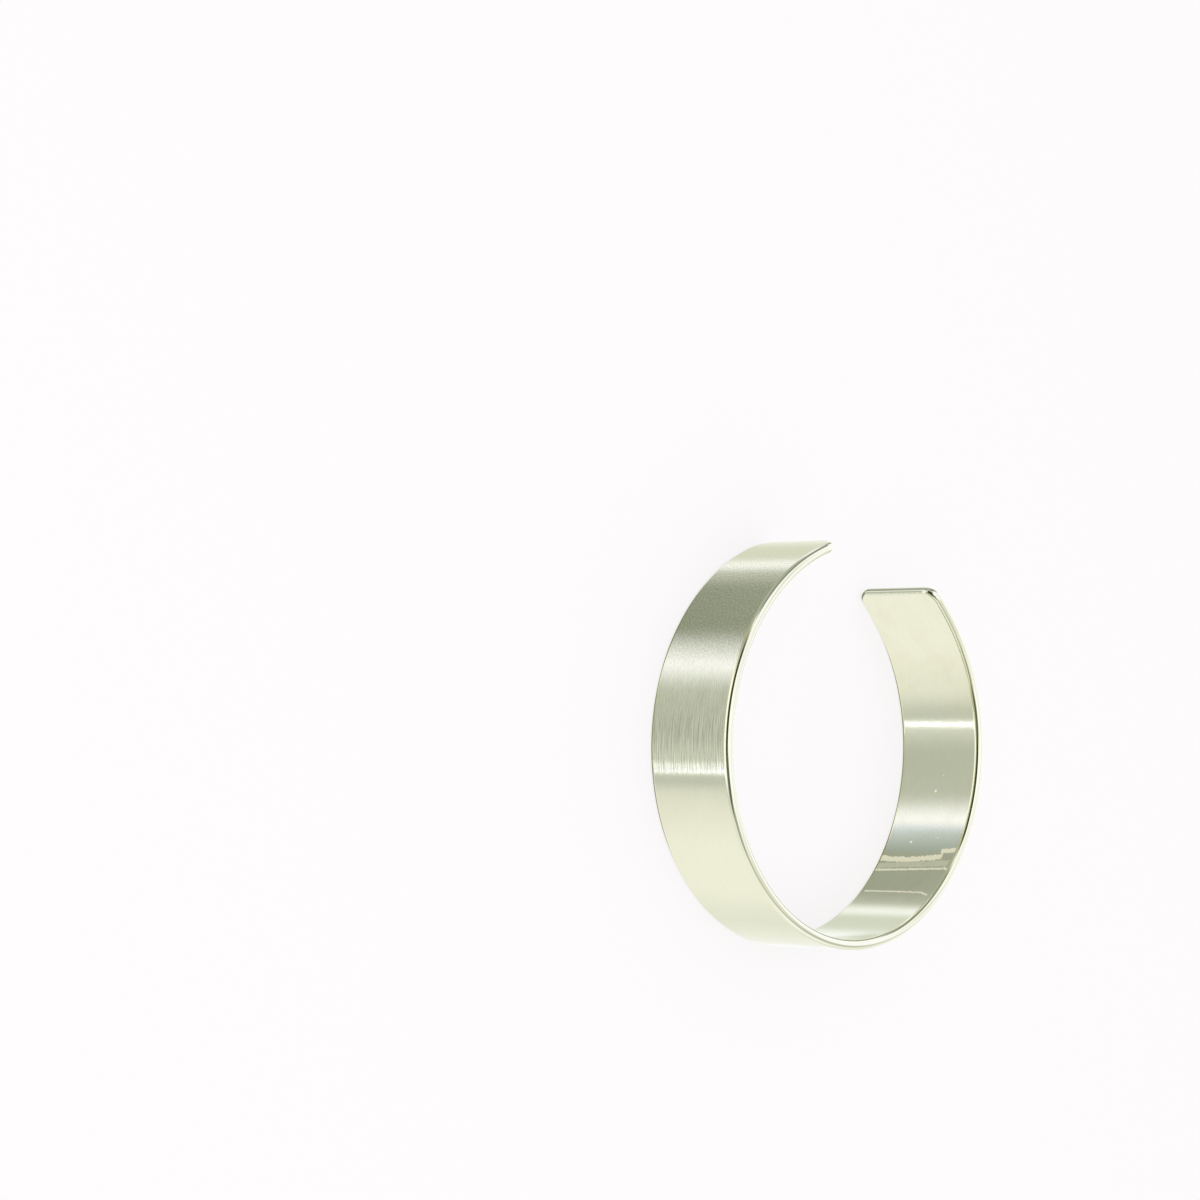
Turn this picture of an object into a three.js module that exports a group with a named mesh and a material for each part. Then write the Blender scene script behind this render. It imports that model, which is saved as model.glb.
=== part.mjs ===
// Open cuff bracelet.
//
// One flat strip of metal with rounded corners and softened edges, bent to an open C.
// The solid is worked out as the strip itself: a stack of rounded-rectangle loops, from the
// inner face over the rim to the outer face, whose points are then carried round the bend.
// The bracelet lies on its lower rim, its gap towards +Y and the middle of its band towards -Y.
// Units are millimetres.

import * as THREE from 'three';

// Driving dimensions of the strip. Both edges of its rim are rounded alike: over `EDGE_WIDTH` of
// each broad face, and through `EDGE_DEPTH` of the thickness, which leaves a narrow land between.
const BAND_LENGTH = 165.6;
const BAND_WIDTH = 15.6;
const BAND_THICKNESS = 1.6;
const EDGE_WIDTH = 0.8;
const EDGE_DEPTH = 0.72;

// Driving dimensions of the bend. The middle is a true arc. Over the last `reach` before each
// tip the curvature falls evenly to `tipShare` of the arc's, so the tips stay a little straighter.
const BEND_RADIUS = 30.0;
const LEFT_TIP = { reach: 44.0, tipShare: 0.88, cornerRadius: 3.1 };
const RIGHT_TIP = { reach: 11.2, tipShare: 0.2, cornerRadius: 2.4 };

// Fineness of the faceted solid.
const STATIONS = 96;
const CORNER_STEPS = 5;
const EDGE_STEPS = 3;
const BEND_LINE_STEPS = 240;

const SILVER_TONE = { color: 0xc6c7b8, metalness: 1.0, roughness: 0.3 };

const QUARTER_TURN = Math.PI / 2;

/** Direction in which the outer face looks at `along` from the band's middle, in radians. */
function faceHeading(along) {
  const tip = along < 0 ? LEFT_TIP : RIGHT_TIP;
  const intoTip = Math.max(0, Math.abs(along) - (BAND_LENGTH / 2 - tip.reach));
  const turnLost = ((1 - tip.tipShare) * intoTip * intoTip) / (2 * tip.reach);
  return -QUARTER_TURN + (along - Math.sign(along) * turnLost) / BEND_RADIUS;
}

/** Point of the bent mid-thickness line at `along`, by the midpoint rule from the middle. */
function bendLinePoint(along) {
  const stride = along / BEND_LINE_STEPS;
  const point = new THREE.Vector2(0, -BEND_RADIUS);
  for (let i = 0; i < BEND_LINE_STEPS; i++) {
    const heading = faceHeading((i + 0.5) * stride);
    point.x -= Math.sin(heading) * stride;
    point.y += Math.cos(heading) * stride;
  }
  return point;
}

/** Rounded corner of the flat strip at one tip, from its end round to the upper edge. */
function tipCorner(tip, side, inset) {
  const radius = tip.cornerRadius - inset;
  const points = [];
  for (let i = 0; i <= CORNER_STEPS; i++) {
    const angle = (QUARTER_TURN * i) / CORNER_STEPS;
    points.push({
      along: side * (BAND_LENGTH / 2 - tip.cornerRadius + radius * Math.cos(angle)),
      across: BAND_WIDTH / 2 - tip.cornerRadius + radius * Math.sin(angle),
    });
  }
  return points;
}

/** Upper edge of the flat strip from the left tip to the right, drawn in by `inset`. */
function upperEdge(inset) {
  const left = tipCorner(LEFT_TIP, -1, inset);
  const right = tipCorner(RIGHT_TIP, 1, inset).reverse();
  const first = left[CORNER_STEPS].along;
  const last = right[0].along;
  const middle = [];
  for (let i = 1; i < STATIONS; i++) {
    middle.push({
      along: THREE.MathUtils.lerp(first, last, i / STATIONS),
      across: BAND_WIDTH / 2 - inset,
    });
  }
  return [...left, ...middle, ...right];
}

/** Section of the rim: how far each loop is drawn in, and its level through the thickness. */
function rimSection() {
  const innerEdge = [];
  for (let i = 0; i <= EDGE_STEPS; i++) {
    const angle = (QUARTER_TURN * i) / EDGE_STEPS;
    innerEdge.push({
      inset: EDGE_WIDTH * (1 - Math.sin(angle)),
      level: EDGE_DEPTH * (1 - Math.cos(angle)) - BAND_THICKNESS / 2,
    });
  }
  const outerEdge = innerEdge.map(({ inset, level }) => ({ inset, level: -level }));
  return [...innerEdge, ...outerEdge.reverse()];
}

/** One closed loop of bent points: the upper edge out, then the lower edge back. */
function bentLoop({ inset, level }) {
  const upper = upperEdge(inset).map(({ along, across }) => {
    const line = bendLinePoint(along);
    const heading = faceHeading(along);
    return new THREE.Vector3(
      line.x + level * Math.cos(heading),
      line.y + level * Math.sin(heading),
      BAND_WIDTH / 2 + across,
    );
  });
  const lower = upper.map((point) => new THREE.Vector3(point.x, point.y, BAND_WIDTH - point.z));
  return [...upper, ...lower.reverse()];
}

/** Triangles of the rim, between each loop and the next. */
function rimTriangles(loopCount, loopLength) {
  const indices = [];
  for (let loop = 0; loop + 1 < loopCount; loop++) {
    for (let i = 0; i < loopLength; i++) {
      const next = (i + 1) % loopLength;
      const inner = loop * loopLength;
      const outer = inner + loopLength;
      indices.push(inner + i, outer + i, outer + next);
      indices.push(inner + i, outer + next, inner + next);
    }
  }
  return indices;
}

/** Triangles of one broad face, as rungs from the lower edge to the upper. */
function faceTriangles(firstIndex, loopLength, facesOut) {
  const indices = [];
  for (let i = 0; i + 1 < loopLength / 2; i++) {
    const upper = firstIndex + i;
    const lower = firstIndex + loopLength - 1 - i;
    if (facesOut) {
      indices.push(lower, lower - 1, upper + 1, lower, upper + 1, upper);
    } else {
      indices.push(lower, upper, upper + 1, lower, upper + 1, lower - 1);
    }
  }
  return indices;
}

/** The bent band, its footprint centred on the origin and its lower rim at Z = 0. */
function cuffBandGeometry() {
  const loops = rimSection().map(bentLoop);
  const loopLength = loops[0].length;
  const outerFaceStart = (loops.length - 1) * loopLength;
  const geometry = new THREE.BufferGeometry().setFromPoints(loops.flat());
  geometry.setIndex([
    ...rimTriangles(loops.length, loopLength),
    ...faceTriangles(0, loopLength, false),
    ...faceTriangles(outerFaceStart, loopLength, true),
  ]);
  geometry.computeBoundingBox();
  const middle = geometry.boundingBox.getCenter(new THREE.Vector3());
  geometry.translate(-middle.x, -middle.y, -geometry.boundingBox.min.z);
  geometry.computeVertexNormals();
  return geometry;
}

function cuffBand() {
  const material = new THREE.MeshStandardMaterial(SILVER_TONE);
  const mesh = new THREE.Mesh(cuffBandGeometry(), material);
  mesh.name = 'cuff_band';
  return mesh;
}

const bracelet = new THREE.Group();
bracelet.add(cuffBand());

export default bracelet;
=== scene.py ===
"""Open cuff bracelet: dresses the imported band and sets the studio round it.

The bracelet is one flat strip of metal bent to an open C. Its outer face is brushed along its
length, its inner face is smoother and lightly scuffed, and its rounded rim is polished.
Sizes are in metres, or in mm where a docstring says so.
"""

import logging
import math
from dataclasses import dataclass, field
from enum import Enum
from typing import Union

import bpy
from mathutils import Matrix, Vector


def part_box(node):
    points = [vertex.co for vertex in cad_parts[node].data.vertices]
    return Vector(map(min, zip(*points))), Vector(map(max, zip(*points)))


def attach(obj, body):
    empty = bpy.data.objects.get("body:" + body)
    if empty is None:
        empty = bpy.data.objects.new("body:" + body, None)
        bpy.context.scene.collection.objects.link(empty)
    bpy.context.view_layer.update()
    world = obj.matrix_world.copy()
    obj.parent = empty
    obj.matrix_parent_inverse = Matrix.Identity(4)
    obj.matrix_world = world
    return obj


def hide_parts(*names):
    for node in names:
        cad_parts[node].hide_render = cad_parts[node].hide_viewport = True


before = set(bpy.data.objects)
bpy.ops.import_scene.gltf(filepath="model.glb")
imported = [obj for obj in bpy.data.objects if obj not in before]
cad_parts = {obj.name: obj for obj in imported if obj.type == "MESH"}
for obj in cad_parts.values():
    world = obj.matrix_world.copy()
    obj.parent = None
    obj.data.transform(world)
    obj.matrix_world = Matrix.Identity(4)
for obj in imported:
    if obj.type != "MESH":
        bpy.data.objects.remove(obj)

log = logging.getLogger("cuff")

MM = 0.001
QUARTER_TURN = math.pi / 2
FULL_TURN = 360.0
HALF_TURN = 180.0
DEGREES = 180 / math.pi

FLOAT = "NodeSocketFloat"
VECTOR = "NodeSocketVector"
COLOUR = "NodeSocketColor"

Colour = tuple[float, float, float]
Triple = tuple[float, float, float]


def added(name: str, data: bpy.types.ID) -> bpy.types.Object:
    """Returns a new object that holds the data and is linked to the scene."""
    made = bpy.data.objects.new(name, data)
    bpy.context.collection.objects.link(made)
    return made


# ---------------------------------------------------------------- wiring node trees


class Number:
    """One number on its way through a node tree; arithmetic on it adds Math nodes."""

    def __init__(self, graph: "Graph", socket: bpy.types.NodeSocket) -> None:
        """Keeps the tree that the number is in and the socket that it comes out of."""
        self.graph = graph
        self.socket = socket

    def __add__(self, other: "Feed") -> "Number":
        """Returns the sum of this number and another."""
        return self.graph.math("ADD", self, other)

    def __sub__(self, other: "Feed") -> "Number":
        """Returns this number less another."""
        return self.graph.math("SUBTRACT", self, other)

    def __rsub__(self, other: "Feed") -> "Number":
        """Returns another number less this one."""
        return self.graph.math("SUBTRACT", other, self)

    def __mul__(self, other: "Feed") -> "Number":
        """Returns the product of this number and another."""
        return self.graph.math("MULTIPLY", self, other)

    def __truediv__(self, other: "Feed") -> "Number":
        """Returns this number divided by another."""
        return self.graph.math("DIVIDE", self, other)

    def __abs__(self) -> "Number":
        """Returns this number without its sign."""
        return self.graph.math("ABSOLUTE", self)

    __radd__ = __add__


Feed = Union[Number, bpy.types.NodeSocket, bpy.types.Material, float, int, str, tuple]


class Graph:
    """A node tree being wired, with one method for each common step."""

    ROWS = 10
    COLUMN_WIDTH = 220
    ROW_HEIGHT = 190
    NOISE = {"Scale": 1.0, "Detail": 2.0, "Roughness": 0.55}
    # A Mix node has sockets for each kind of value, of which these are the colour's.
    MIX_SHARE, MIX_FIRST, MIX_SECOND, MIX_RESULT = 0, 6, 7, 2

    def __init__(self, tree: bpy.types.NodeTree) -> None:
        """Starts wiring in a tree, empty or not."""
        self.tree = tree
        self.placed = 0
        self.ends: dict[str, bpy.types.Node] = {}

    @classmethod
    def group(cls, name: str, kind: str, inputs: dict[str, str], output: str) -> "Graph":
        """Makes a node group with named inputs and one output.

        Args:
            name: Name of the group.
            kind: ShaderNodeTree or GeometryNodeTree.
            inputs: Its inputs in order, each name with the class of its socket.
            output: The class of its output's socket.

        Returns:
            The graph of the new group, ready to be wired.
        """
        tree = bpy.data.node_groups.new(name, kind)
        for port, socket_kind in inputs.items():
            tree.interface.new_socket(port, in_out="INPUT", socket_type=socket_kind)
        tree.interface.new_socket("Result", in_out="OUTPUT", socket_type=output)
        graph = cls(tree)
        graph.ends["in"] = graph.node("NodeGroupInput")
        graph.ends["out"] = tree.nodes.new("NodeGroupOutput")
        return graph

    def given(self, name: str) -> Number:
        """Returns the value that comes in at a named input of the group."""
        return Number(self, self.ends["in"].outputs[name])

    def result(self, value: "Feed") -> bpy.types.NodeTree:
        """Sends a value to the group's output and returns the group."""
        self.feed(self.ends["out"].inputs[0], value)
        self.ends["out"].location = (self.COLUMN_WIDTH * (self.placed // self.ROWS + 1), 0)
        return self.tree

    def node(self, kind: str, feeds: dict | None = None, **settings: object) -> bpy.types.Node:
        """Adds a node, sets its options and feeds its inputs.

        Args:
            kind: The node's class.
            feeds: Values or sockets for its inputs, by input name or number.
            **settings: Options of the node.

        Returns:
            The node.
        """
        node = self.tree.nodes.new(kind)
        column, row = divmod(self.placed, self.ROWS)
        node.location = (self.COLUMN_WIDTH * column, -self.ROW_HEIGHT * row)
        self.placed += 1
        for option, value in settings.items():
            setattr(node, option, value)
        for key, value in (feeds or {}).items():
            self.feed(node.inputs[key], value)
        return node

    def feed(self, socket: bpy.types.NodeSocket, value: "Feed") -> None:
        """Links a value into an input, or sets the input where the value is a constant."""
        if isinstance(value, Number):
            value = value.socket
        if isinstance(value, bpy.types.NodeSocket):
            self.tree.links.new(value, socket)
        elif socket.type == "RGBA":
            socket.default_value = (*value, 1.0)
        else:
            socket.default_value = value

    def math(self, operation: str, *values: "Feed", clamp: bool = False) -> Number:
        """Adds a Math node.

        Args:
            operation: What it does.
            *values: Its inputs, in order.
            clamp: Whether its result is kept between 0 and 1.

        Returns:
            Its result.
        """
        feeds = dict(enumerate(values))
        node = self.node("ShaderNodeMath", feeds, operation=operation, use_clamp=clamp)
        return Number(self, node.outputs[0])

    def blend(self, share: "Feed", low: "Feed", high: "Feed") -> Number:
        """Returns low where share is 0, high where it is 1, and a mix between."""
        return self.math("MULTIPLY_ADD", share, self.math("SUBTRACT", high, low), low)

    def mix(self, share: "Feed", first: "Feed", second: "Feed") -> bpy.types.NodeSocket:
        """Returns the mix of two colours, all of the second where share is 1."""
        feeds = {self.MIX_SHARE: share, self.MIX_FIRST: first, self.MIX_SECOND: second}
        return self.node("ShaderNodeMix", feeds, data_type="RGBA").outputs[self.MIX_RESULT]

    def step(self, value: "Feed", start: "Feed", end: "Feed") -> Number:
        """Returns 0 before start and 1 past end, with a smooth rise between."""
        feeds = {"Value": value, "From Min": start, "From Max": end}
        node = self.node("ShaderNodeMapRange", feeds, interpolation_type="SMOOTHSTEP")
        return Number(self, node.outputs["Result"])

    def noise(self, x: "Feed", y: "Feed", z: "Feed", **options: float) -> Number:
        """Adds a noise.

        Args:
            x: Where it is read, in the first of its three directions.
            y: The same in the second.
            z: The same in the third.
            **options: Its other inputs, where they aren't the usual ones.

        Returns:
            Its value, about 0.5 on average.
        """
        feeds = {"Vector": self.vector(x, y, z), **self.NOISE}
        feeds |= {name.title(): value for name, value in options.items()}
        return Number(self, self.node("ShaderNodeTexNoise", feeds).outputs[0])

    def vector(self, x: "Feed", y: "Feed", z: "Feed") -> bpy.types.NodeSocket:
        """Returns the vector of three numbers."""
        return self.node("ShaderNodeCombineXYZ", {0: x, 1: y, 2: z}).outputs[0]

    def parts(self, vector: "Feed") -> tuple[Number, Number, Number]:
        """Returns the three numbers of a vector."""
        node = self.node("ShaderNodeSeparateXYZ", {0: vector})
        return tuple(Number(self, socket) for socket in node.outputs)


# ---------------------------------------------------------------- effects shared by finishes


class Effect(Enum):
    """The node groups that the finishes share."""

    GRAIN = "lengthwise_grain"
    RIPPLE = "surface_ripple"
    HAZE = "handling_haze"
    SCUFF = "scuff_line"
    SPECK = "speck"

    def on(self, graph: Graph, place: Feed, numbers: dict[str, float]) -> Number:
        """Adds the effect to a material; its group is made when it is first asked for.

        Args:
            graph: The material's graph.
            place: Place on the band.
            numbers: The effect's numbers, by name.

        Returns:
            What the effect gives.
        """
        group = bpy.data.node_groups.get(self.value) or EFFECT_MAKERS[self]()
        node = graph.node("ShaderNodeGroup", {"Place": place, **numbers}, node_tree=group)
        return Number(graph, node.outputs[0])

    def start(self, *names: str) -> tuple["Graph | Number", ...]:
        """Starts the effect's group.

        Args:
            *names: Names of the numbers that it takes.

        Returns:
            The group's graph, the distances along and across the band, then the numbers.
        """
        inputs = {"Place": VECTOR, **{name: FLOAT for name in names}}
        graph = Graph.group(self.value, "ShaderNodeTree", inputs, FLOAT)
        along, across, _ = graph.parts(graph.given("Place"))
        return graph, along, across, *(graph.given(name) for name in names)


def make_grain() -> bpy.types.NodeTree:
    """Makes the fine short lines that brushing leaves along the band.

    Returns:
        A group that gives a tone from -1 for a dark streak to 1 for a light one.
    """
    drift_length, drift_width, drift_share = 3.0, 9.0, 1.6
    dark, light = 0.36, 0.66
    graph, along, across, gap, length, start = Effect.GRAIN.start(
        "Line Gap", "Line Length", "Start"
    )
    wander = graph.noise(
        along / (length * drift_length), across / (gap * drift_width), start, roughness=0.5
    )
    drift = (wander - 0.5) * gap * drift_share
    lines = graph.noise(along / length, (across + drift) / gap, start)
    return graph.result(graph.step(lines, dark, light) * 2.0 - 1.0)


def make_ripple() -> bpy.types.NodeTree:
    """Makes the slight unevenness of rolled sheet, which frays the edge of a reflection.

    Returns:
        A group that gives the height of the unevenness.
    """
    graph, along, across, size_along, size_across, start = Effect.RIPPLE.start(
        "Size Along", "Size Across", "Start"
    )
    return graph.result(graph.noise(along / size_along, across / size_across, start))


def make_haze() -> bpy.types.NodeTree:
    """Makes the faint patches that handling leaves on polished metal.

    Returns:
        A group that gives the patches as a mask from 0 to 1.
    """
    before, past = 0.12, 0.14
    graph, along, across, size, cover, start = Effect.HAZE.start("Patch Size", "Cover", "Start")
    patches = graph.noise(
        along / size, across / size, start, detail=5.0, roughness=0.6, distortion=0.6
    )
    edge = 1.0 - cover
    return graph.result(graph.step(patches, edge - before, edge + past))


def make_scuff() -> bpy.types.NodeTree:
    """Makes one wavering scuff that runs across the band.

    Returns:
        A group that gives the scuff as a mask from 0 to 1.
    """
    seed_scale, ragged_seed, waver_share = 7000, 4.0, 4
    widest, thinning = 1.1, 0.05
    fade, core, soft = 0.09 * MM, 0.05 * MM, 0.12 * MM
    graph, along, across, middle, slant, bow, thickness, waver, first, last = Effect.SCUFF.start(
        "Along", "Slant", "Bow", "Thickness", "Waver", "From", "To"
    )
    rough = {"detail": 3.0, "roughness": 0.6}
    stray = graph.noise(across / MM, middle * seed_scale, 0.0, scale=1.4, **rough)
    ragged = graph.noise(across / MM, along / MM, ragged_seed, scale=2.9, **rough)
    line = middle + slant * across + bow * across * across
    line = line + (stray - 0.5) * waver * waver_share
    half = thickness * (ragged * widest - thinning)
    body = graph.step(abs(along - line), half + fade, half - core)
    begun = graph.step(across, first - soft, first + soft)
    unended = graph.step(across, last + soft, last - soft)
    return graph.result(body * begun * unended)


def make_speck() -> bpy.types.NodeTree:
    """Makes one small round speck.

    Returns:
        A group that gives the speck as a mask from 0 to 1.
    """
    outside, core = 1.3, 0.5
    graph, along, across, middle, height, radius = Effect.SPECK.start("Along", "Across", "Radius")
    off_along = along - middle
    off_across = across - height
    away = graph.math("SQRT", off_along * off_along + off_across * off_across)
    return graph.result(graph.step(away, radius * outside, radius * core))


EFFECT_MAKERS = {
    Effect.GRAIN: make_grain,
    Effect.RIPPLE: make_ripple,
    Effect.HAZE: make_haze,
    Effect.SCUFF: make_scuff,
    Effect.SPECK: make_speck,
}


# ---------------------------------------------------------------- finishes

PLACE = "band_place"
ROUNDING = "rounding"

# How far the shader's grain is turned, as a share of a full turn.
GRAIN_TURN = 0.25
# How far past the finish's own start the haze and the unevenness start in the noise.
HAZE_START = 9.0
RIPPLE_START = 5.0
HAZE_ROUGHENING = 0.15
DUST_COLOUR = (1.0, 1.0, 0.95)


@dataclass(frozen=True)
class Stretch:
    """A stretch of the band that an effect fills, in mm from the band's middle.

    Attributes:
        start: Where the effect starts to show.
        full: Where it has its full strength.
        last: Where it starts to fade.
        end: Where it is gone.
    """

    start: float = -102.0
    full: float = -101.0
    last: float = 101.0
    end: float = 102.0

    def share(self, graph: Graph, along: Number) -> Number:
        """Adds the stretch to a material and returns its strength, from 0 to 1."""
        rise = graph.step(along, self.start * MM, self.full * MM)
        return rise * graph.step(along, self.end * MM, self.last * MM)


@dataclass(frozen=True)
class Brushing:
    """One layer of brushing lines over one stretch of the band.

    Attributes:
        gap: Distance between the lines, in mm.
        length: Length of the lines, in mm.
        contrast: How much lighter and darker its streaks are.
        stretch: Where it shows.
        start: Where in the noise it starts.
    """

    gap: float
    length: float
    contrast: float
    stretch: Stretch = Stretch()
    start: float = 0.0

    def tone(self, graph: Graph, place: Feed, along: Number) -> Number:
        """Adds the layer to a material.

        Args:
            graph: The material's graph.
            place: Place on the band.
            along: Distance along the band.

        Returns:
            How much lighter or darker the layer makes the metal.
        """
        numbers = {
            "Line Gap": self.gap * MM,
            "Line Length": self.length * MM,
            "Start": self.start,
        }
        share = self.stretch.share(graph, along) * self.contrast
        return Effect.GRAIN.on(graph, place, numbers) * share


@dataclass(frozen=True)
class Cast:
    """A change of the metal's colour over one stretch of the band.

    Attributes:
        tint: The colour there.
        stretch: Where it shows.
        inward: Levels through the thickness between which it comes in, in mm, or None where it
            shows at every level.
    """

    tint: Colour
    stretch: Stretch
    inward: tuple[float, float] | None = None

    def share(self, graph: Graph, along: Number, level: Number) -> Number:
        """Adds the cast to a material and returns its strength, from 0 to 1."""
        share = self.stretch.share(graph, along)
        if self.inward is None:
            return share
        start, full = self.inward
        return share * graph.step(level, start * MM, full * MM)


@dataclass(frozen=True)
class ScuffLine:
    """A scuff across the inner face.

    Attributes:
        along: Where it crosses the middle of the face, in mm from the band's middle.
        slant: How far it climbs along the band for each mm across.
        bow: How much it bends, per mm squared.
        thickness: Its width in mm.
        waver: How far it strays, in mm.
        start: Where it starts across the band, in mm.
        end: Where it ends across the band, in mm.
        strength: How strong it is, 1 for full.
    """

    along: float
    slant: float = 0.0
    bow: float = 0.0
    thickness: float = 0.3
    waver: float = 0.08
    start: float = -8.0
    end: float = 8.0
    strength: float = 1.0

    def mask(self, graph: Graph, place: Feed) -> Number:
        """Adds the scuff to a material.

        Args:
            graph: The material's graph.
            place: Place on the band.

        Returns:
            The scuff's mask.
        """
        numbers = {
            "Along": self.along * MM,
            "Slant": self.slant,
            "Bow": self.bow / MM,
            "Thickness": self.thickness * MM,
            "Waver": self.waver * MM,
            "From": self.start * MM,
            "To": self.end * MM,
        }
        return Effect.SCUFF.on(graph, place, numbers) * self.strength


@dataclass(frozen=True)
class Speck:
    """A bright speck on the inner face, its place and radius in mm."""

    along: float
    across: float
    radius: float = 0.16

    def mask(self, graph: Graph, place: Feed) -> Number:
        """Adds the speck to a material and returns its mask."""
        numbers = {name.title(): size * MM for name, size in vars(self).items()}
        return Effect.SPECK.on(graph, place, numbers)


@dataclass(frozen=True)
class MetalFinish:
    """A finish of the bright, slightly warm metal.

    Attributes:
        name: Name of the material.
        tint: Colour of the metal where it mirrors white.
        roughness: Its roughness where it is clean.
        anisotropy: How much more it scatters across the band than along it.
        brushing: Its layers of brushing lines.
        ripple_along: Length of the sheet's unevenness, in mm.
        ripple_across: Width of that unevenness, in mm.
        ripple_height: Height of that unevenness, in mm.
        fray: How ragged the ends of its casts are, in mm.
        haze_tint: Colour of the metal under a patch of haze.
        haze: How strongly that colour shows in a patch.
        haze_size: Size of those patches, in mm.
        haze_cover: How much of the face they cover.
        start: Where in the noise its patterns start.
        casts: Its slight changes of colour along the band; on the outer face two of them are a painted
            highlight and a painted shade.
        scuffs: Its scuffs.
        specks: Its specks.
        mark_roughness: Roughness of the scuffs and specks.
        mark_metallic: How metallic the scuffs and specks are.
        mark_tint: Colour of the scuffs and specks.
    """

    name: str
    tint: Colour = (0.863, 0.855, 0.672)
    roughness: float = 0.2
    anisotropy: float = 0.0
    brushing: tuple[Brushing, ...] = ()
    ripple_along: float = 0.5
    ripple_across: float = 0.5
    ripple_height: float = 0.0005
    fray: float = 1.4
    haze_tint: Colour = (0.82, 0.80, 0.62)
    haze: float = 0.3
    haze_size: float = 8.0
    haze_cover: float = 0.45
    start: float = 0.0
    casts: tuple[Cast, ...] = ()
    scuffs: tuple[ScuffLine, ...] = ()
    specks: tuple[Speck, ...] = ()
    mark_roughness: float = 0.6
    mark_metallic: float = 1.0
    mark_tint: Colour = (0.85, 0.82, 0.62)

    def material(self) -> bpy.types.Material:
        """Makes the material.

        Returns:
            The material, which reads the place on the band that the band's mesh carries.
        """
        material = bpy.data.materials.new(self.name)
        material.use_nodes = True
        graph = Graph(material.node_tree)
        shader = graph.tree.nodes["Principled BSDF"]
        shader.inputs["Metallic"].default_value = 1.0
        shader.inputs["Anisotropic"].default_value = self.anisotropy
        shader.inputs["Anisotropic Rotation"].default_value = GRAIN_TURN
        place = graph.node("ShaderNodeAttribute", attribute_name=PLACE).outputs["Vector"]
        numbers = {
            "Patch Size": self.haze_size * MM,
            "Cover": self.haze_cover,
            "Start": self.start + HAZE_START,
        }
        haze = Effect.HAZE.on(graph, place, numbers)
        marks = self.marks(graph, place, (*self.scuffs, *self.specks))
        self.colour(graph, shader, place, haze, marks)
        self.gloss(graph, shader, haze, marks)
        self.relief(graph, shader, place)
        log.info("finish %s made", self.name)
        return material

    @staticmethod
    def marks(
        graph: Graph, place: Feed, marks: tuple["ScuffLine | Speck", ...]
    ) -> Number | None:
        """Adds every mark given and returns their common mask, or None without any."""
        total = None
        for mark in marks:
            mask = mark.mask(graph, place)
            total = mask if total is None else graph.math("MAXIMUM", total, mask)
        return total

    def colour(
        self,
        graph: Graph,
        shader: bpy.types.Node,
        place: Feed,
        haze: Feed,
        marks: Number | None,
    ) -> None:
        """Wires the metal's colour: its tint, haze, casts, brushing and marks.

        Args:
            graph: The material's graph.
            shader: Its Principled shader.
            place: Place on the band.
            haze: Mask of the haze.
            marks: Mask of the scuffs and specks.
        """
        along, _, level = graph.parts(place)
        share = graph.math("MULTIPLY", haze, self.haze)
        metal = graph.mix(share, self.tint, self.haze_tint)
        frayed = along + (self.ripple(graph, place) - 0.5) * (self.fray * MM)
        for cast in self.casts:
            metal = graph.mix(cast.share(graph, frayed, level), metal, cast.tint)
        if self.brushing:
            tone = sum(layer.tone(graph, place, along) for layer in self.brushing)
            feeds = {0: metal, "Scale": 1.0 + tone}
            metal = graph.node("ShaderNodeVectorMath", feeds, operation="SCALE").outputs[0]
        if marks is not None:
            metal = graph.mix(marks, metal, self.mark_tint)
        dust = self.marks(graph, place, self.specks)
        if dust is not None:
            metal = graph.mix(dust, metal, DUST_COLOUR)
        graph.feed(shader.inputs["Base Color"], metal)

    def gloss(
        self, graph: Graph, shader: bpy.types.Node, haze: Feed, marks: Number | None
    ) -> None:
        """Wires the roughness, which haze and marks raise, and how metallic the marks are.

        Args:
            graph: The material's graph.
            shader: Its Principled shader.
            haze: Mask of the haze.
            marks: Mask of the scuffs and specks.
        """
        rise = HAZE_ROUGHENING * self.roughness
        roughness = graph.math("MULTIPLY_ADD", haze, rise, self.roughness)
        if marks is not None:
            roughness = graph.blend(marks, roughness, self.mark_roughness)
            graph.feed(shader.inputs["Metallic"], graph.blend(marks, 1.0, self.mark_metallic))
        graph.feed(shader.inputs["Roughness"], roughness)

    def ripple(self, graph: Graph, place: Feed) -> Number:
        """Adds the sheet's unevenness and returns its height, about 0.5 on average."""
        numbers = {
            "Size Along": self.ripple_along * MM,
            "Size Across": self.ripple_across * MM,
            "Start": self.start + RIPPLE_START,
        }
        return Effect.RIPPLE.on(graph, place, numbers)

    def relief(self, graph: Graph, shader: bpy.types.Node, place: Feed) -> None:
        """Wires the bump of the sheet's unevenness, which frays the reflections."""
        feeds = {
            "Strength": 1.0,
            "Distance": self.ripple_height * MM,
            "Height": self.ripple(graph, place),
        }
        bump = graph.node("ShaderNodeBump", feeds)
        graph.feed(shader.inputs["Normal"], bump.outputs[0])


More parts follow.
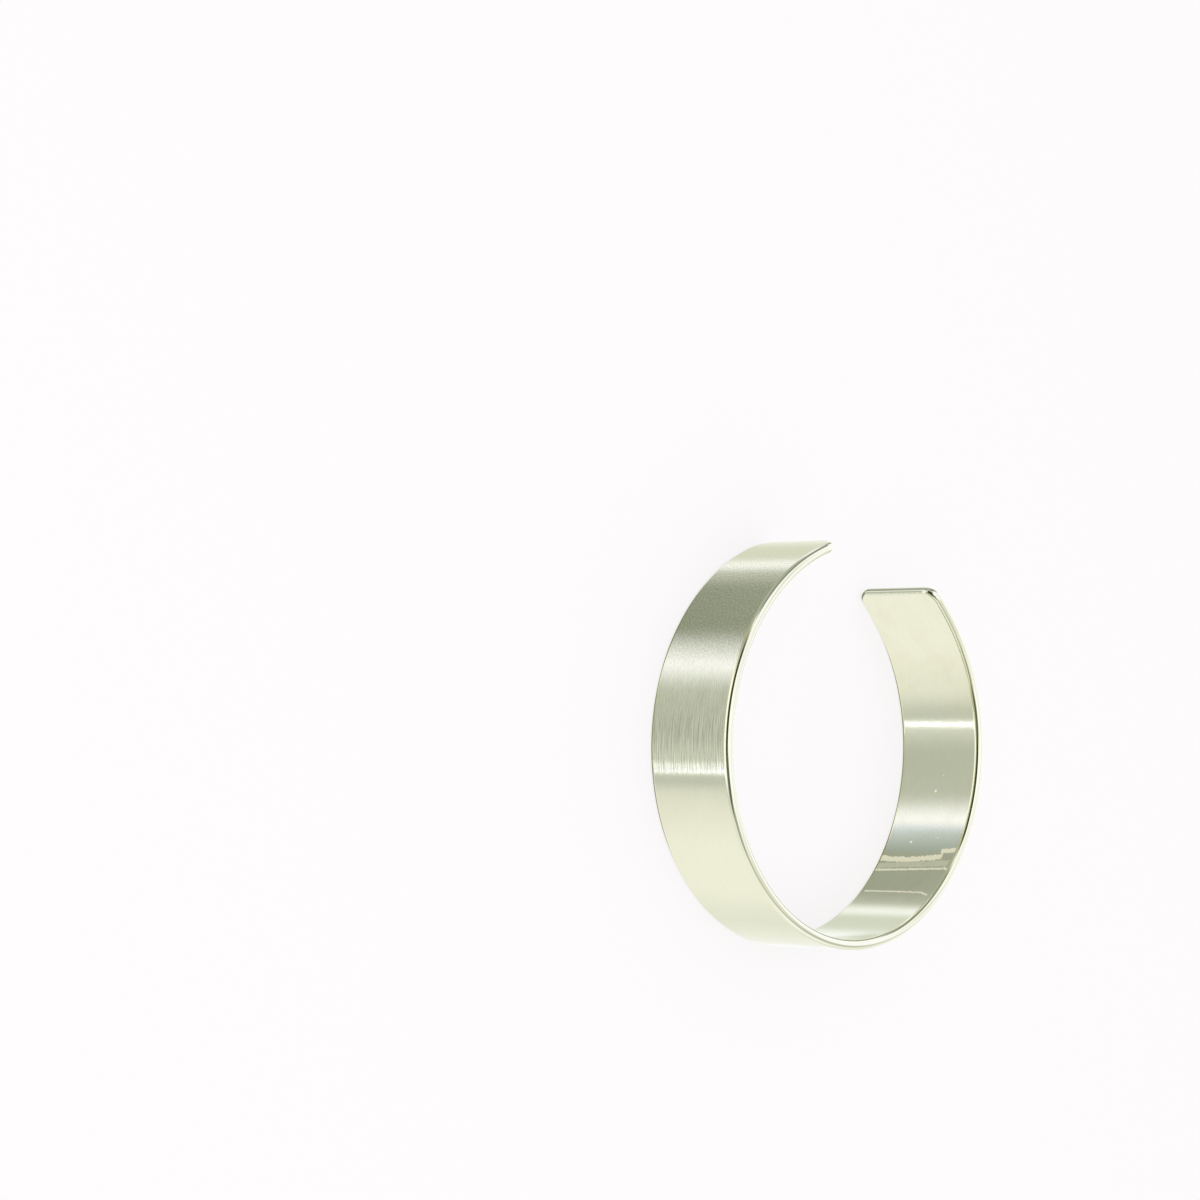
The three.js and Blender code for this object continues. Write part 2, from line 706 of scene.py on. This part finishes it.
BRUSHED_OUTER = MetalFinish(
    name="brushed_outer_face",
    roughness=0.15,
    anisotropy=0.67,
    brushing=(
        Brushing(0.11, 6.5, 0.27, Stretch(-53.0, -40.5, -36.4, -35.8), start=2.0),
        Brushing(0.15, 1.4, 0.06, Stretch(-72.0, -54.0, -38.0, -36.0), start=21.0),
        Brushing(0.19, 0.32, 0.18, Stretch(-79.0, -70.0, -57.0, -49.0), start=34.0),
        Brushing(0.20, 4.0, 0.008, start=55.0),
    ),
    ripple_along=1.1,
    ripple_across=0.20,
    ripple_height=0.006,
    haze=0.25,
    haze_size=11.0,
    start=2.0,
    casts=(
        Cast((0.863, 0.855, 0.600), Stretch(-90.0, -89.0, -80.0, -70.0)),
        # Painted highlight: a bright line across the outer face where the lengthwise brushing ends.
        Cast((0.990, 0.985, 0.790), Stretch(-37.2, -36.5, -36.2, -35.9)),
        # Painted shade: a darker band across the outer face just past the end of the brushing.
        Cast((0.760, 0.760, 0.595), Stretch(-36.0, -35.7, -35.0, -33.1)),
    ),
    scuffs=(ScuffLine(-9.35, slant=0.075, thickness=0.16, waver=0.04, strength=0.5),),
    mark_roughness=0.16,
    mark_tint=(0.84, 0.78, 0.62),
)

SATIN_INNER = MetalFinish(
    name="satin_inner_face",
    roughness=0.13,
    anisotropy=0.5,
    brushing=(Brushing(0.2, 3.0, 0.012, start=17.0),),
    ripple_along=0.5,
    ripple_across=0.3,
    ripple_height=0.005,
    haze_tint=(0.835, 0.805, 0.620),
    haze=0.7,
    haze_size=6.0,
    start=17.0,
    casts=(
        Cast((0.828, 0.855, 0.665), Stretch(2.0, 5.0, 20.0, 26.0)),
        Cast((0.820, 0.855, 0.725), Stretch(35.8, 36.8, 40.6, 42.0)),
    ),
    scuffs=(
        ScuffLine(35.0, slant=0.085, bow=0.012, thickness=0.95, waver=0.10, start=-7.4, end=4.9),
        ScuffLine(36.2, slant=0.10, thickness=0.75, waver=0.08, start=4.3, end=7.0),
        ScuffLine(33.9, slant=0.07, thickness=1.1, waver=0.04, start=-7.4, end=6.7, strength=0.35),
        ScuffLine(32.9, slant=0.055, thickness=0.34, waver=0.05, start=-7.4, end=6.3),
        ScuffLine(37.1, slant=-0.58, thickness=0.36, waver=0.03, start=6.2, end=7.0),
        ScuffLine(27.85, slant=0.01, bow=-0.002, thickness=0.30, waver=0.10, start=-6.4, end=5.0),
        ScuffLine(29.7, slant=-0.38, thickness=0.32, waver=0.04, start=4.9, end=6.3),
    ),
    specks=(
        Speck(47.2, -0.1, 0.21),
        Speck(38.2, -2.4, 0.23),
        Speck(39.1, 2.6, 0.12),
        Speck(49.8, 1.1, 0.09),
    ),
    mark_roughness=0.5,
    mark_metallic=0.15,
    mark_tint=(0.86, 0.84, 0.62),
)

POLISHED_RIM = MetalFinish(
    name="polished_rim",
    roughness=0.12,
    ripple_along=0.8,
    ripple_across=0.8,
    ripple_height=0.0008,
    haze=0.3,
    haze_size=5.0,
    start=43.0,
    casts=(
        Cast((0.850, 0.830, 0.550), Stretch(-64.0, -56.0, -37.5, -36.5), inward=(0.45, 0.62)),
        Cast((0.855, 0.840, 0.570), Stretch(24.0, 32.0, 62.0, 76.0), inward=(-0.45, -0.62)),
    ),
)


# ---------------------------------------------------------------- the band


@dataclass(frozen=True)
class Tip:
    """One tip of the band: how the bend eases off before it, and how round its corners are.

    Attributes:
        reach: Length before the tip over which the curvature falls.
        share: Curvature left at the tip, as a share of the arc's.
        corner: Radius of its corners.
    """

    reach: float
    share: float
    corner: float


class Zone(Enum):
    """The parts of the band's surface, named as the inputs that take their finishes."""

    RIM = "Rim Finish"
    OUTER = "Outer Finish"
    INNER = "Inner Finish"


@dataclass
class CuffBand:
    """The bent band: a flat strip with rounded corners and edges, bent to an open C.

    The strip starts as a block of square cells. Its outermost cells are drawn round the edges,
    its corners round their radii, and the whole is carried along the bend.

    Attributes:
        half_columns: Cells between the band's middle and a tip.
        half_rows: Cells between the middle of its width and an edge.
        wall_levels: Points through its thickness.
        edge_steps: Cells that make a rounded edge.
        corner_steps: Cells that make a rounded corner.
        support: Share of the width taken by the row beside an edge, which keeps it crisp.
        guide_points: Points of the line that the bend follows.
        merge_distance: Points nearer than this are merged.
        flat_rounding: Points rounded less than this lie on a broad face.
    """

    length: float = 165.6 * MM
    width: float = 15.6 * MM
    thickness: float = 1.6 * MM
    edge_width: float = 0.8 * MM
    edge_depth: float = 0.72 * MM
    bend_radius: float = 30.0 * MM
    left_tip: Tip = Tip(44.0 * MM, 0.88, 3.1 * MM)
    right_tip: Tip = Tip(11.2 * MM, 0.2, 2.4 * MM)
    half_columns: int = 230
    half_rows: int = 18
    wall_levels: int = 4
    edge_steps: int = 6
    corner_steps: int = 9
    support: float = 0.006
    guide_points: int = 1201
    merge_distance: float = 0.001 * MM
    flat_rounding: float = 0.001
    finishes: dict[Zone, MetalFinish] = field(
        default_factory=lambda: {
            Zone.RIM: POLISHED_RIM,
            Zone.OUTER: BRUSHED_OUTER,
            Zone.INNER: SATIN_INNER,
        }
    )

    def build(self) -> None:
        """Builds the dressed band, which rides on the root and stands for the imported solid."""
        shaped = added("band_shaping", bpy.data.meshes.new("band_shaping"))
        modifier = shaped.modifiers.new("bend_strip", "NODES")
        modifier.node_group = self.tree()
        sockets = modifier.node_group.interface.items_tree
        for name, value in self.settings().items():
            modifier[sockets[name].identifier] = value
        evaluated = shaped.evaluated_get(bpy.context.evaluated_depsgraph_get())
        mesh = bpy.data.meshes.new_from_object(evaluated)
        mesh.name = "dressed_band"
        band = added("dressed_band", mesh)
        bpy.data.objects.remove(shaped)
        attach(band, "root")
        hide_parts("cuff_band")
        log.info("band: %d vertices, %d faces", len(mesh.vertices), len(mesh.polygons))

    def sizes(self) -> dict[str, float]:
        """Returns the strip's sizes, by the names of the tree's inputs."""
        sizes = {
            "Length": self.length,
            "Width": self.width,
            "Thickness": self.thickness,
            "Edge Width": self.edge_width,
            "Edge Depth": self.edge_depth,
            "Bend Radius": self.bend_radius,
        }
        for side, tip in (("Left", self.left_tip), ("Right", self.right_tip)):
            sizes |= {f"{side} {name.title()}": value for name, value in vars(tip).items()}
        return sizes

    def settings(self) -> dict[str, object]:
        """Returns the values of all the tree's inputs, by name."""
        low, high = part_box("cuff_band")
        finishes = {zone.value: finish.material() for zone, finish in self.finishes.items()}
        return {**self.sizes(), "Middle": (low + high) / 2, **finishes}

    def tree(self) -> bpy.types.NodeTree:
        """Makes the tree that shapes, bends and dresses the strip.

        Returns:
            The Geometry Nodes tree, its sizes named inputs.
        """
        inputs = {name: FLOAT for name in self.sizes()}
        inputs |= {"Middle": VECTOR, **{zone.value: "NodeSocketMaterial" for zone in Zone}}
        graph = Graph.group("bent_strip", "GeometryNodeTree", inputs, "NodeSocketGeometry")
        bent = self.bend(graph, self.flat_strip(graph))
        return graph.result(self.dress(graph, self.place(graph, bent)))

    def flat_strip(self, graph: Graph) -> bpy.types.NodeSocket:
        """Adds the block of cells and stores where each of its points lies on the flat strip.

        Args:
            graph: The tree's graph.

        Returns:
            The block, with the flat strip's place and the rounding as attributes.
        """
        feeds = {
            "Size": (2.0, 2.0, 2.0),
            "Vertices X": 2 * self.half_columns + 1,
            "Vertices Y": 2 * self.half_rows + 1,
            "Vertices Z": self.wall_levels,
        }
        block = graph.node("GeometryNodeMeshCube", feeds).outputs["Mesh"]
        x, y, z = graph.parts(graph.node("GeometryNodeInputPosition").outputs[0])
        column = (1.0 - abs(x)) * self.half_columns
        row = (1.0 - abs(y)) * self.half_rows
        rounding_x, rounding_y = (
            graph.math("SUBTRACT", 1.0, cells / self.edge_steps, clamp=True)
            for cells in (column, row)
        )
        rounding = graph.math("MAXIMUM", rounding_x, rounding_y)
        turn = rounding * QUARTER_TURN
        inset = graph.given("Edge Width") * (1.0 - graph.math("SINE", turn))
        drop = graph.given("Edge Depth") * (1.0 - graph.math("COSINE", turn))
        level = (graph.given("Thickness") * 0.5 - drop) * z
        along, across = self.plan(graph, x, y, column, row, inset)
        stored = self.store(graph, block, PLACE, graph.vector(along, across, level))
        return self.store(graph, stored, ROUNDING, rounding)

    def plan(
        self, graph: Graph, x: Number, y: Number, column: Number, row: Number, inset: Number
    ) -> tuple[Number, Number]:
        """Adds the strip's plan: straight edges, round corners and square tips.

        Args:
            graph: The tree's graph.
            x: Place in the block lengthwise, from -1 to 1.
            y: Place in the block crosswise, from -1 to 1.
            column: Columns between a point and the nearer tip.
            row: Rows between a point and the nearer rim.
            inset: How far the edge rounding draws a point in.

        Returns:
            Distance along the band and distance across it, both from its middle.
        """
        corner_end = self.edge_steps
        corner_start = corner_end + self.corner_steps
        sweep = graph.math("DIVIDE", corner_start - column, self.corner_steps, clamp=True)
        sweep = sweep * QUARTER_TURN
        straight = graph.math(
            "DIVIDE", self.half_columns - column, self.half_columns - corner_start, clamp=True
        )
        radius = self.of_tip(graph, x, "Corner")
        arc = radius - inset
        along = (graph.given("Length") * 0.5 - radius) * straight
        along = along + arc * graph.math("SINE", sweep)
        half_width = graph.given("Width") * 0.5 - radius + arc * graph.math("COSINE", sweep)
        inner_rows = self.half_rows - self.edge_steps - 1
        spread = graph.math("DIVIDE", self.half_rows - row, inner_rows, clamp=True)
        held = graph.math("SUBTRACT", self.edge_steps + 1, row, clamp=True)
        share = spread * (1.0 - self.support) + held * self.support
        return (
            along * graph.math("SIGN", x),
            share * half_width * graph.math("SIGN", y),
        )

    @staticmethod
    def of_tip(graph: Graph, along: Number, name: str) -> Number:
        """Returns a size of the tip on whose side of the middle a point lies."""
        right = graph.math("GREATER_THAN", along, 0.0)
        return graph.blend(right, graph.given(f"Left {name}"), graph.given(f"Right {name}"))

    def heading(self, graph: Graph, along: Number) -> Number:
        """Adds the direction in which the outer face looks.

        Args:
            graph: The tree's graph.
            along: Distance along the band from its middle.

        Returns:
            The direction, in radians from +X.
        """
        reach = self.of_tip(graph, along, "Reach")
        share = self.of_tip(graph, along, "Share")
        into_tip = abs(along) - graph.given("Length") * 0.5 + reach
        into_tip = graph.math("MAXIMUM", into_tip, 0.0)
        turn_lost = (1.0 - share) * into_tip * into_tip / (reach * 2.0)
        turned = along - graph.math("SIGN", along) * turn_lost
        return turned / graph.given("Bend Radius") - QUARTER_TURN

    def guide(self, graph: Graph) -> bpy.types.NodeSocket:
        """Adds the line that the strip's middle follows.

        Args:
            graph: The tree's graph.

        Returns:
            The line as a curve, from the left tip to the right.
        """
        stride = graph.given("Length") / (self.guide_points - 1)
        index = Number(graph, graph.node("GeometryNodeInputIndex").outputs[0])
        middle = (index + 0.5) * stride - graph.given("Length") * 0.5
        heading = self.heading(graph, middle)
        forward = graph.vector(
            graph.math("SINE", heading) * stride * -1.0,
            graph.math("COSINE", heading) * stride,
            0.0,
        )
        total = graph.node("GeometryNodeAccumulateField", {0: forward}, data_type="FLOAT_VECTOR")
        feeds = {"Count": self.guide_points, "Offset": (0.0, 0.0, 0.0)}
        points = graph.node("GeometryNodeMeshLine", feeds).outputs[0]
        feeds = {"Geometry": points, "Position": total.outputs["Trailing"]}
        laid = graph.node("GeometryNodeSetPosition", feeds).outputs[0]
        return graph.node("GeometryNodeMeshToCurve", {0: laid}).outputs[0]

    def bend(self, graph: Graph, strip: bpy.types.NodeSocket) -> bpy.types.NodeSocket:
        """Adds the bend: each point is carried to its place beside the guide line.

        Args:
            graph: The tree's graph.
            strip: The flat strip.

        Returns:
            The bent strip, its doubled corner points merged.
        """
        along, across, level = graph.parts(self.stored(graph, PLACE, "FLOAT_VECTOR"))
        heading = self.heading(graph, along)
        line = graph.node(
            "GeometryNodeSampleCurve",
            {"Curves": self.guide(graph), "Length": along + graph.given("Length") * 0.5},
            mode="LENGTH",
            use_all_curves=True,
        )
        line_x, line_y, _ = graph.parts(line.outputs["Position"])
        position = graph.vector(
            line_x + level * graph.math("COSINE", heading),
            line_y + level * graph.math("SINE", heading),
            across,
        )
        bent = graph.node("GeometryNodeSetPosition", {"Geometry": strip, "Position": position})
        feeds = {"Geometry": bent.outputs[0], "Distance": self.merge_distance}
        return graph.node("GeometryNodeMergeByDistance", feeds).outputs[0]

    def place(self, graph: Graph, bent: bpy.types.NodeSocket) -> bpy.types.NodeSocket:
        """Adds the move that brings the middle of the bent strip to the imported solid's.

        Args:
            graph: The tree's graph.
            bent: The bent strip.

        Returns:
            The strip in its place.
        """
        kind = "ShaderNodeVectorMath"
        extent = graph.node("GeometryNodeBoundBox", {"Geometry": bent}).outputs
        feeds = {0: extent["Min"], 1: extent["Max"]}
        total = graph.node(kind, feeds, operation="ADD").outputs[0]
        half = graph.node(kind, {0: total, "Scale": 0.5}, operation="SCALE").outputs[0]
        feeds = {0: graph.given("Middle"), 1: half}
        move = graph.node(kind, feeds, operation="SUBTRACT").outputs[0]
        feeds = {"Geometry": bent, "Offset": move}
        return graph.node("GeometryNodeSetPosition", feeds).outputs[0]

    def dress(self, graph: Graph, placed: bpy.types.NodeSocket) -> bpy.types.NodeSocket:
        """Adds the smooth shading and the three finishes.

        Args:
            graph: The tree's graph.
            placed: The strip in its place.

        Returns:
            The dressed strip.
        """
        smooth = graph.node("GeometryNodeSetShadeSmooth", {"Geometry": placed}).outputs[0]
        real = graph.node("GeometryNodeRealizeInstances", {"Geometry": smooth}).outputs[0]
        rounding = self.stored(graph, ROUNDING, "FLOAT")
        flat = graph.math("LESS_THAN", rounding, self.flat_rounding)
        level = graph.parts(self.stored(graph, PLACE, "FLOAT_VECTOR"))[2]
        outside = graph.math("GREATER_THAN", level, 0.0)
        chosen = {Zone.RIM: True, Zone.OUTER: flat * outside, Zone.INNER: flat * (1.0 - outside)}
        for zone, selection in chosen.items():
            feeds = {"Geometry": real, "Selection": selection, "Material": graph.given(zone.value)}
            real = graph.node("GeometryNodeSetMaterial", feeds).outputs[0]
        return real

    @staticmethod
    def store(
        graph: Graph, geometry: bpy.types.NodeSocket, name: str, value: Feed
    ) -> bpy.types.NodeSocket:
        """Adds a named attribute to the points of a mesh.

        Args:
            graph: The tree's graph.
            geometry: The mesh.
            name: Name of the attribute.
            value: Its value, a number or a vector.

        Returns:
            The mesh with the attribute.
        """
        kind = "FLOAT" if isinstance(value, Number) else "FLOAT_VECTOR"
        feeds = {"Geometry": geometry, "Name": name, "Value": value}
        node = graph.node("GeometryNodeStoreNamedAttribute", feeds, data_type=kind, domain="POINT")
        return node.outputs[0]

    @staticmethod
    def stored(graph: Graph, name: str, kind: str) -> bpy.types.NodeSocket:
        """Returns a named attribute of the mesh."""
        node = graph.node("GeometryNodeInputNamedAttribute", {"Name": name}, data_type=kind)
        return node.outputs["Attribute"]


# ---------------------------------------------------------------- the studio


@dataclass(frozen=True)
class Tone:
    """How red and how blue the studio is at one brightness, as shares of its green."""

    level: float
    red: float
    blue: float


STUDIO_TONES = (
    Tone(0.1, red=0.88, blue=0.55),
    Tone(0.35, red=0.92, blue=0.92),
    Tone(0.8, red=0.97, blue=0.95),
    Tone(1.0, red=0.99, blue=1.0),
    Tone(1.15, red=0.99, blue=1.15),
)


def studio_tone(level: float) -> Colour:
    """Returns the colour of a studio card: slightly green where dark, cool where bright.

    Args:
        level: How bright the card is, 1 for white.

    Returns:
        Its colour, linear.
    """
    for low, high in zip(STUDIO_TONES, STUDIO_TONES[1:]):
        if level <= high.level:
            break
    share = min(1.0, max(0.0, (level - low.level) / (high.level - low.level)))
    red = low.red + (high.red - low.red) * share
    blue = low.blue + (high.blue - low.blue) * share
    return (level * red, level, level * blue)


@dataclass(frozen=True)
class Pane:
    """One upright stretch of the sweep, which melts into its neighbours.

    Attributes:
        name: What it is.
        azimuth: Where its middle stands round the object, in degrees.
        level: How bright it is there.
    """

    name: str
    azimuth: float
    level: float


@dataclass(frozen=True)
class Card:
    """A soft-edged card in the surround. Angles are in degrees.

    Attributes:
        name: What it is.
        azimuth: Where its middle stands round the object.
        half_width: Half its width.
        side_edge: How far its sides fade, each way.
        elevation: How high its middle is.
        half_height: Half its height.
        end_edge: How far its top and bottom fade, each way.
        level: How bright it is.
        tilt: How far its right end is tipped up.
    """

    name: str
    azimuth: float
    half_width: float
    side_edge: float
    elevation: float
    half_height: float
    end_edge: float
    level: float
    tilt: float = 0.0


@dataclass
class Surround:
    """What the metal mirrors: a wide grey-to-white sweep with soft cards in front of it.

    The floor and the view behind the object stay plain. Only reflections show the cards.

    Attributes:
        sweep: The panes of the sweep, in order round the object.
        cards: The cards, each in front of those before it.
        lean: How far the sweep leans aside for each degree up.
        lean_middle: Elevation where it stands upright, in degrees.
        lean_reach: How far above and below that it leans, in degrees.
        backdrop: Colour of the view behind the object.
        ambient: Colour of the light that the surround gives.
        ambient_strength: How strong that light is.
    """

    CARD_NUMBERS = ("azimuth", "half_width", "side_edge", "elevation", "half_height", "end_edge")

    sweep: tuple[Pane, ...] = (
        Pane("white wall", 0, 1.1),
        Pane("white wall", 35, 1.05),
        Pane("pale grey door", 54, 0.77),
        Pane("pale grey door", 65, 0.77),
        Pane("slim white strip", 74, 1.1),
        Pane("edge of the dark screen", 84, 0.6),
        Pane("dark screen", 97, 0.27),
        Pane("dark screen", 124, 0.26),
        Pane("wide white strip", 145, 1.2),
        Pane("grey screen", 165, 0.57),
        Pane("grey screen", 190, 0.54),
        Pane("fold of the screen", 201, 0.7),
        Pane("foot of the fold", 211, 0.6),
        Pane("pale wall", 227, 0.9),
        Pane("pale wall", 255, 1.0),
        Pane("pale wall", 285, 1.0),
        Pane("soft shade", 312, 0.89),
        Pane("white wall", 345, 0.98),
        Pane("white wall", 360, 1.1),
    )
    cards: tuple[Card, ...] = (
        Card("side sheet", 295, 65, 10, 40, 15, 10, 0.6),
        Card("side glow", 305, 20, 15, 10, 15, 5, 1.1),
        Card("front sheet", 70, 65, 5, 20, 45, 15, 1.15),
        Card("grey board", 115, 30, 5, -20, 20, 5, 0.5),
        Card("low light strip", 185, 30, 10, -15, 15, 5, 1.3),
        Card("ceiling", 180, 181, 1, 85, 15, 15, 1.2),
        Card("overhead sheet", 180, 70, 25, 60, 10, 5, 1.3),
        Card("grey arm", 95, 30, 5, 15, 15, 5, 0.3),
        Card("dark arm", 170, 35, 10, 25, 20, 5, 0.05),
        Card("dark elbow", 215, 15, 5, 35, 25, 5, 0.15),
        Card("dark wrist", 240, 15, 10, 30, 5, 5, 0.1),
        Card("grey corner", 125, 30, 10, -10, 10, 5, 0.45),
        Card("grey foot", 60, 15, 5, -10, 10, 5, 0.4),
        Card("pale line", 0, 70, 10, 50, 5, 5, 0.85),
        Card("low glow", 20, 10, 10, -10, 15, 5, 1.1),
        Card("grey end", 245, 15, 10, 50, 10, 5, 0.5, 20),
        Card("ground shade", 180, 181, 1, -80, 15, 5, 0.3),
        Card("bright seam", 205, 1, 0.5, -50, 8, 1, 2.0),
        Card("seam above it", 208, 1, 0.5, -33, 8, 1, 2.5),
    )
    lean: float = 1.2
    lean_middle: float = -40.0
    lean_reach: float = 4.0
    backdrop: Colour = (0.985, 0.970, 0.977)
    ambient: Colour = (1.0, 0.99, 0.995)
    ambient_strength: float = 0.72

    def build(self) -> None:
        """Builds the surround and makes it the scene's world."""
        world = bpy.data.worlds.new("surround")
        world.use_nodes = True
        world.cycles.sampling_method = "NONE"
        graph = Graph(world.node_tree)
        graph.tree.nodes.clear()
        x, y, z = graph.parts(graph.node("ShaderNodeTexCoord").outputs["Generated"])
        turned = graph.math("ARCTAN2", y, x) * DEGREES + FULL_TURN
        azimuth = graph.math("MODULO", turned, FULL_TURN)
        elevation = graph.math("ARCSINE", z) * DEGREES
        above = graph.math("MAXIMUM", elevation - self.lean_middle, -self.lean_reach)
        rise = graph.math("MINIMUM", above, self.lean_reach)
        colour = self.swept(graph, graph.math("MODULO", turned - rise * self.lean, FULL_TURN))
        for card in self.cards:
            colour = self.carded(graph, card, colour, azimuth, elevation)
        mirrored, soft, plain = (
            graph.node("ShaderNodeBackground", {"Color": light, "Strength": power}).outputs[0]
            for light, power in (
                (colour, 1.0),
                (self.ambient, self.ambient_strength),
                (self.backdrop, 1.0),
            )
        )
        path = graph.node("ShaderNodeLightPath").outputs
        feeds = {0: path["Is Glossy Ray"], 1: soft, 2: mirrored}
        lit = graph.node("ShaderNodeMixShader", feeds).outputs[0]
        feeds = {0: path["Is Camera Ray"], 1: lit, 2: plain}
        seen = graph.node("ShaderNodeMixShader", feeds).outputs[0]
        graph.node("ShaderNodeOutputWorld", {"Surface": seen})
        bpy.context.scene.world = world
        log.info("surround: sweep of %d panes, %d cards", len(self.sweep), len(self.cards))

    def half_turn(self, start: float) -> list[Pane]:
        """Returns the panes of one half turn, with one at the very middle of the whole turn."""
        before = max((p for p in self.sweep if p.azimuth <= HALF_TURN), key=lambda p: p.azimuth)
        after = min((p for p in self.sweep if p.azimuth > HALF_TURN), key=lambda p: p.azimuth)
        share = (HALF_TURN - before.azimuth) / (after.azimuth - before.azimuth)
        joint = Pane("joint", HALF_TURN, before.level + (after.level - before.level) * share)
        panes = sorted((*self.sweep, joint), key=lambda p: p.azimuth)
        return [pane for pane in panes if start <= pane.azimuth <= start + HALF_TURN]

    def swept(self, graph: Graph, azimuth: Number) -> bpy.types.NodeSocket:
        """Adds the sweep, as one ramp for each half turn.

        Args:
            graph: The world's graph.
            azimuth: Direction round the object, in degrees.

        Returns:
            The sweep's colour.
        """
        halves = []
        for start in (0.0, HALF_TURN):
            ramp = graph.node("ShaderNodeValToRGB", {0: (azimuth - start) / HALF_TURN})
            ramp.color_ramp.interpolation = "EASE"
            elements = ramp.color_ramp.elements
            elements.remove(elements[-1])
            for number, pane in enumerate(self.half_turn(start)):
                place = (pane.azimuth - start) / HALF_TURN
                element = elements[0] if number == 0 else elements.new(place)
                element.position = place
                element.color = (*studio_tone(pane.level), 1.0)
            halves.append(ramp.outputs["Color"])
        second = graph.math("GREATER_THAN", azimuth, HALF_TURN)
        return graph.mix(second, *halves)

    def carded(
        self, graph: Graph, card: Card, behind: Feed, azimuth: Number, elevation: Number
    ) -> bpy.types.NodeSocket:
        """Adds a card in front of what is there.

        Args:
            graph: The world's graph.
            card: The card.
            behind: Colour of what is behind it.
            azimuth: Direction round the object, in degrees.
            elevation: Direction up from the floor, in degrees.

        Returns:
            The colour with the card in front.
        """
        feeds = {name: getattr(card, name) for name in self.CARD_NUMBERS}
        feeds |= {"tilt": math.radians(card.tilt), "shade": studio_tone(card.level)}
        feeds |= {"behind": behind, "turned": azimuth, "raised": elevation}
        node = graph.node("ShaderNodeGroup", feeds, node_tree=self.card_group())
        node.label = card.name
        return node.outputs[0]

    def card_group(self) -> bpy.types.NodeTree:
        """Returns the node group of a card, and makes it when it is first asked for."""
        name = "studio_card"
        if name in bpy.data.node_groups:
            return bpy.data.node_groups[name]
        numbers = (*self.CARD_NUMBERS, "tilt", "turned", "raised")
        inputs = {"behind": COLOUR, "shade": COLOUR, **{number: FLOAT for number in numbers}}
        graph = Graph.group(name, "ShaderNodeTree", inputs, COLOUR)
        azimuth, width, side, elevation, height, end, tilt, turned, raised = (
            graph.given(number) for number in numbers
        )
        right = graph.math("MODULO", turned - azimuth + (FULL_TURN + HALF_TURN), FULL_TURN) - HALF_TURN
        up = raised - elevation
        cosine, sine = graph.math("COSINE", tilt), graph.math("SINE", tilt)
        aside = abs(right * cosine + up * sine)
        above = abs(up * cosine - right * sine)
        share = graph.step(aside, width + side, width - side)
        share = share * graph.step(above, height + end, height - end)
        return graph.result(graph.mix(share, graph.given("behind"), graph.given("shade")))


@dataclass
class Floor:
    """The plain pale floor. It glows a little, as lit paper does, so its shadows stay faint.

    Attributes:
        half_side: Half its side.
        colour: Its colour.
        glow: Light that it gives off.
        glow_strength: How strong that light is.
    """

    half_side: float = 6.0
    colour: Colour = (0.20, 0.1978, 0.1985)
    glow: Colour = (0.99, 0.973, 0.98)
    glow_strength: float = 0.782

    def build(self) -> None:
        """Builds the floor, which the metal does not mirror."""
        mesh = bpy.data.meshes.new("floor")
        side = self.half_side
        corners = [(-side, -side, 0), (side, -side, 0), (side, side, 0), (-side, side, 0)]
        mesh.from_pydata(corners, [], [(0, 1, 2, 3)])
        material = bpy.data.materials.new("pale_paper")
        material.use_nodes = True
        shader = material.node_tree.nodes["Principled BSDF"]
        settings = {
            "Base Color": (*self.colour, 1.0),
            "Roughness": 1.0,
            "Specular IOR Level": 0.0,
            "Emission Color": (*self.glow, 1.0),
            "Emission Strength": self.glow_strength,
        }
        for name, value in settings.items():
            shader.inputs[name].default_value = value
        mesh.materials.append(material)
        floor = added("floor", mesh)
        floor.visible_glossy = False
        log.info("floor laid")


@dataclass
class OverheadLight:
    """One large soft light above the object: where it hangs, its side and its power in watts."""

    place: Triple = (-0.25, -0.15, 0.9)
    side: float = 1.4
    power: float = 6.0

    def build(self) -> None:
        """Builds the light, turned to the object."""
        lamp = bpy.data.lights.new("overhead_light", "AREA")
        lamp.shape = "SQUARE"
        lamp.size = self.side
        lamp.energy = self.power
        light = added("overhead_light", lamp)
        light.location = self.place
        light.rotation_euler = Vector(self.place).to_track_quat("Z", "Y").to_euler()
        light.visible_glossy = False
        log.info("overhead light hung")


@dataclass
class ViewCamera:
    """The camera, placed round the middle of the band.

    Attributes:
        offset: From the middle of the band to the camera.
        forward: Where the camera looks.
        up: The camera's upward direction.
        lens: Focal length in mm.
        sensor: Width of the sensor in mm.
        shift: How far the frame is moved, right and up, as shares of its side.
        reach: How far the camera sees.
    """

    offset: Triple = (-0.45925, -0.11063, 0.39333)
    forward: Triple = (0.70227, 0.20759, -0.68097)
    up: Triple = (-0.26722, 0.96346, 0.01813)
    lens: float = 120.0
    sensor: float = 36.0
    shift: tuple[float, float] = (-0.0003, 0.0003)
    reach: float = 20.0

    def build(self) -> None:
        """Builds the camera and makes it the scene's."""
        data = bpy.data.cameras.new("view_camera")
        data.lens = self.lens
        data.sensor_width = self.sensor
        data.shift_x, data.shift_y = self.shift
        data.clip_end = self.reach
        back = -Vector(self.forward).normalized()
        right = Vector(self.up).cross(back).normalized()
        turn = Matrix((right, back.cross(right), back)).transposed().to_4x4()
        low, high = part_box("cuff_band")
        centre = (low + high) / 2
        camera = added("view_camera", data)
        camera.matrix_world = Matrix.Translation(centre + Vector(self.offset)) @ turn
        bpy.context.scene.camera = camera
        log.info("camera set")


def main() -> None:
    """Builds the bracelet and the studio."""
    logging.basicConfig(level=logging.INFO, format="%(name)s: %(message)s")
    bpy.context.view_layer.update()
    ViewCamera().build()
    CuffBand().build()
    Floor().build()
    OverheadLight().build()
    Surround().build()
    bpy.context.scene.view_settings.view_transform = "Standard"
    log.info("size of the packed model and of the looks written")


if __name__ == "__main__":
    main()
